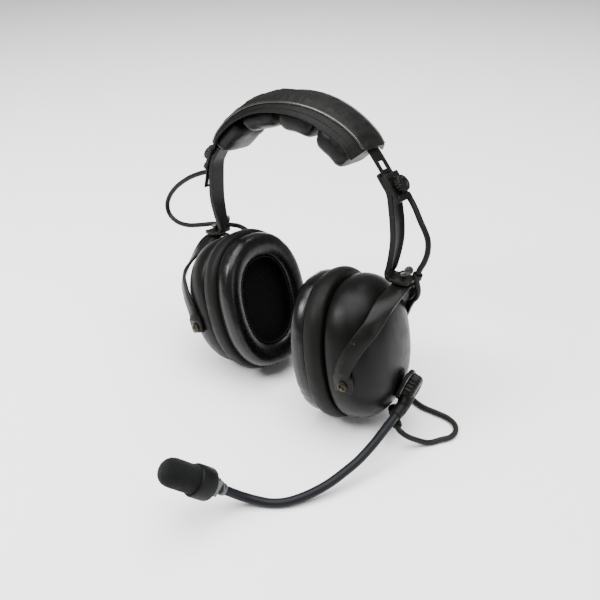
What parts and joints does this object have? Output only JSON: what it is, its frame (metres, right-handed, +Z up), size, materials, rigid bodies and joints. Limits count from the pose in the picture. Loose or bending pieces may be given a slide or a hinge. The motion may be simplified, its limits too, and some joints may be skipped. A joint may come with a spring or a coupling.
{
  "type": "communication headset",
  "caption": "Radio communication headset with a sprung padded headband, sliding arms, yoke-hung sealed ear cups, a gooseneck boom microphone and a coiled lead.",
  "frame": {"origin": "centre of the bounding box without the lead, at the height of the table the headset stands on", "axes": "+Z up, +X from the far ear cup to the cup with the microphone, -Y the front that the microphone points to"},
  "size_m": [0.2865, 0.2614, 0.2149],
  "materials": {
    "moulded_shell": "satin black",
    "seal_vinyl": "glossy black vinyl",
    "cover_leatherette": "matt grained",
    "black_painted_steel": "satin black",
    "bright_steel": "plain",
    "brass": "dulled",
    "cable_rubber": "matt",
    "foam": "matt open foam",
    "circuit_board": "matt"
  },
  "bodies": {
    "arm_far": {"arm_far": "black_painted_steel", "cable_clip_far": "black_painted_steel", "cable_loop_far": "cable_rubber", "clamp_far": "black_painted_steel", "clip_screw_far": "bright_steel"},
    "arm_near": {"arm_near": "black_painted_steel", "cable_clip_near": "black_painted_steel", "cable_loop_near": "cable_rubber", "clamp_near": "black_painted_steel", "clip_screw_near": "bright_steel"},
    "cup_far": {"baffle_far": "moulded_shell", "damping_foam_far": "foam", "dome_far": "moulded_shell", "driver_far": "bright_steel", "ear_seal_far": "seal_vinyl", "flange_far": "moulded_shell", "liner_foam_far": "foam", "pivot_screw_front_far": "brass", "pivot_screw_rear_far": "brass"},
    "cup_near": {"baffle_near": "moulded_shell", "boom_boss": "black_painted_steel", "damping_foam_near": "foam", "dome_near": "moulded_shell", "driver_near": "bright_steel", "ear_seal_near": "seal_vinyl", "flange_near": "moulded_shell", "lead_coil": "cable_rubber", "lead_cord": "cable_rubber", "lead_gland": "cable_rubber", "liner_foam_near": "foam", "pivot_screw_front_near": "brass", "pivot_screw_rear_near": "brass", "plug_pin": "bright_steel", "plug_sleeve": "cable_rubber", "terminal_board": "circuit_board"},
    "boom": {"boom_ferrule": "cable_rubber", "boom_gooseneck": "cable_rubber", "boom_knob": "black_painted_steel", "boom_socket": "black_painted_steel"},
    "yoke_far": {"cable_tail_far": "cable_rubber", "swivel_screw_far": "bright_steel", "yoke_far": "black_painted_steel"},
    "yoke_near": {"cable_tail_near": "cable_rubber", "swivel_screw_near": "bright_steel", "yoke_near": "black_painted_steel"},
    "clamp_knob_far": {"clamp_knob_far": "black_painted_steel"},
    "clamp_knob_near": {"clamp_knob_near": "black_painted_steel"},
    "headband": {"crown_pad_1": "foam", "crown_pad_2": "foam", "crown_pad_3": "foam", "crown_pad_4": "foam", "headband_cover": "cover_leatherette", "headband_strap": "black_painted_steel", "interconnect_lead": "cable_rubber"},
    "microphone": {"mic_bracket": "bright_steel", "mic_capsule": "moulded_shell", "mic_collar": "cable_rubber", "mic_windscreen": "foam"}
  },
  "joints": [
    {"name": "arm_slide_near", "type": "slide", "parent": "headband", "child": "arm_near", "axis": [0.7025, -0.0778, -0.7074], "range_m": [-0.016, 0.004]},
    {"name": "clamp_knob_turn_near", "type": "hinge", "parent": "arm_near", "child": "clamp_knob_near", "pos_m": [0.08815, 0.07913, 0.17102], "axis": [0.7116, 0.0768, 0.6983], "continuous": true},
    {"name": "yoke_swivel_near", "type": "hinge", "parent": "arm_near", "child": "yoke_near", "pos_m": [0.10162, 0.07268, 0.11232], "axis": [-0.0911, 0.1088, 0.9899], "range_deg": [-15, 15]},
    {"name": "cup_pivot_near", "type": "hinge", "parent": "yoke_near", "child": "cup_near", "pos_m": [0.09344, 0.05603, 0.05047], "axis": [-0.0901, 0.9876, -0.1289], "range_deg": [-12, 3]},
    {"name": "arm_slide_far", "type": "slide", "parent": "headband", "child": "arm_far", "axis": [-0.3317, -0.1031, -0.9378], "range_m": [0, 0.02]},
    {"name": "clamp_knob_turn_far", "type": "hinge", "parent": "arm_far", "child": "clamp_knob_far", "pos_m": [-0.07341, 0.07712, 0.15274], "axis": [-0.9434, 0.0362, 0.3297], "continuous": true},
    {"name": "yoke_swivel_far", "type": "hinge", "parent": "arm_far", "child": "yoke_far", "pos_m": [-0.07071, 0.07054, 0.09294], "axis": [-0.1743, 0.1076, 0.9788], "range_deg": [-15, 15]},
    {"name": "cup_pivot_far", "type": "hinge", "parent": "yoke_far", "child": "cup_far", "pos_m": [-0.03478, 0.05425, 0.03883], "axis": [0.0749, 0.9929, -0.0923], "range_deg": [0, 12]},
    {"name": "boom_swing", "type": "hinge", "parent": "cup_near", "child": "boom", "pos_m": [0.11667, 0.06043, 0.0369], "axis": [0.9804, 0.0653, -0.1857], "range_deg": [-65, 5]},
    {"name": "mic_swivel", "type": "hinge", "parent": "boom", "child": "microphone", "pos_m": [0.06675, -0.07787, 0.02118], "axis": [-0.036, -0.7318, -0.6806], "range_deg": [-30, 30]}
  ]
}
